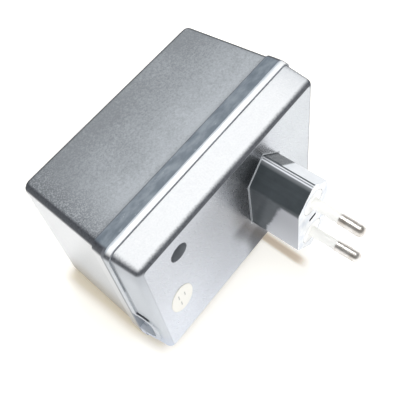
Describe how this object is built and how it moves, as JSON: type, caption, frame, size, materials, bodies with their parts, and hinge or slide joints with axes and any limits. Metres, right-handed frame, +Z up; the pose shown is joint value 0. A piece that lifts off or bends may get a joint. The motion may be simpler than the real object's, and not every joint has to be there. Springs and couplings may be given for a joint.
{
  "type": "plug-in power supply",
  "caption": "Black two-part plug-in power supply with a drafted housing, a Euro plug neck with sleeved round pins, a transformer, a rectifier board and a low-voltage output socket.",
  "frame": {"origin": "midway between the two contact pins, on the end face of the plug neck", "axes": "-Y the way the pins point, X along the housing's long side, +Z up as the supply lies on a long side"},
  "size_m": [0.0878, 0.0896, 0.0656],
  "materials": {
    "housing": "black moulded plastic with a fine spark texture",
    "neck": "black moulded plastic, polished",
    "insulator": "white insulating plastic",
    "pins": "nickel-plated brass",
    "sleeves": "white insulating plastic",
    "screws": "zinc-plated steel",
    "seal": "cream paper, printed in grey",
    "laminations": "silicon steel sheets, varnished",
    "former": "natural nylon",
    "copper": "enamelled copper wire, wound in layers",
    "tape": "yellow polyester tape",
    "terminals": "tinned wire",
    "fuse": "tinned metal can",
    "board": "paper laminate circuit board",
    "diodes": "black epoxy with tinned leads",
    "capacitor": "aluminium can in a blue sleeve",
    "socket": "black plastic",
    "contacts": "nickel-plated brass",
    "mains_wires": "brown insulated wire",
    "low_voltage_wires": "red insulated wire"
  },
  "bodies": {
    "root": {"cover": "housing", "base": "housing", "plug_body": "neck", "pin_carrier": "insulator", "contact_pin_upper": "pins", "contact_pin_lower": "pins", "pin_sleeve_upper": "sleeves", "pin_sleeve_lower": "sleeves", "housing_screws": "screws", "inspection_seal": "seal", "core_e_stack": "laminations", "core_i_stack": "laminations", "bobbin": "former", "primary_winding": "copper", "secondary_winding": "copper", "primary_tape": "tape", "secondary_tape": "tape", "primary_terminals": "terminals", "secondary_terminals": "terminals", "thermal_fuse": "fuse", "circuit_board": "board", "rectifier_diodes": "diodes", "smoothing_capacitor": "capacitor", "output_socket_body": "socket", "output_socket_pin": "contacts", "output_socket_spring": "contacts", "mains_wire_upper": "mains_wires", "mains_wire_lower": "mains_wires", "low_voltage_wire_upper": "low_voltage_wires", "low_voltage_wire_lower": "low_voltage_wires"}
  },
  "joints": []
}
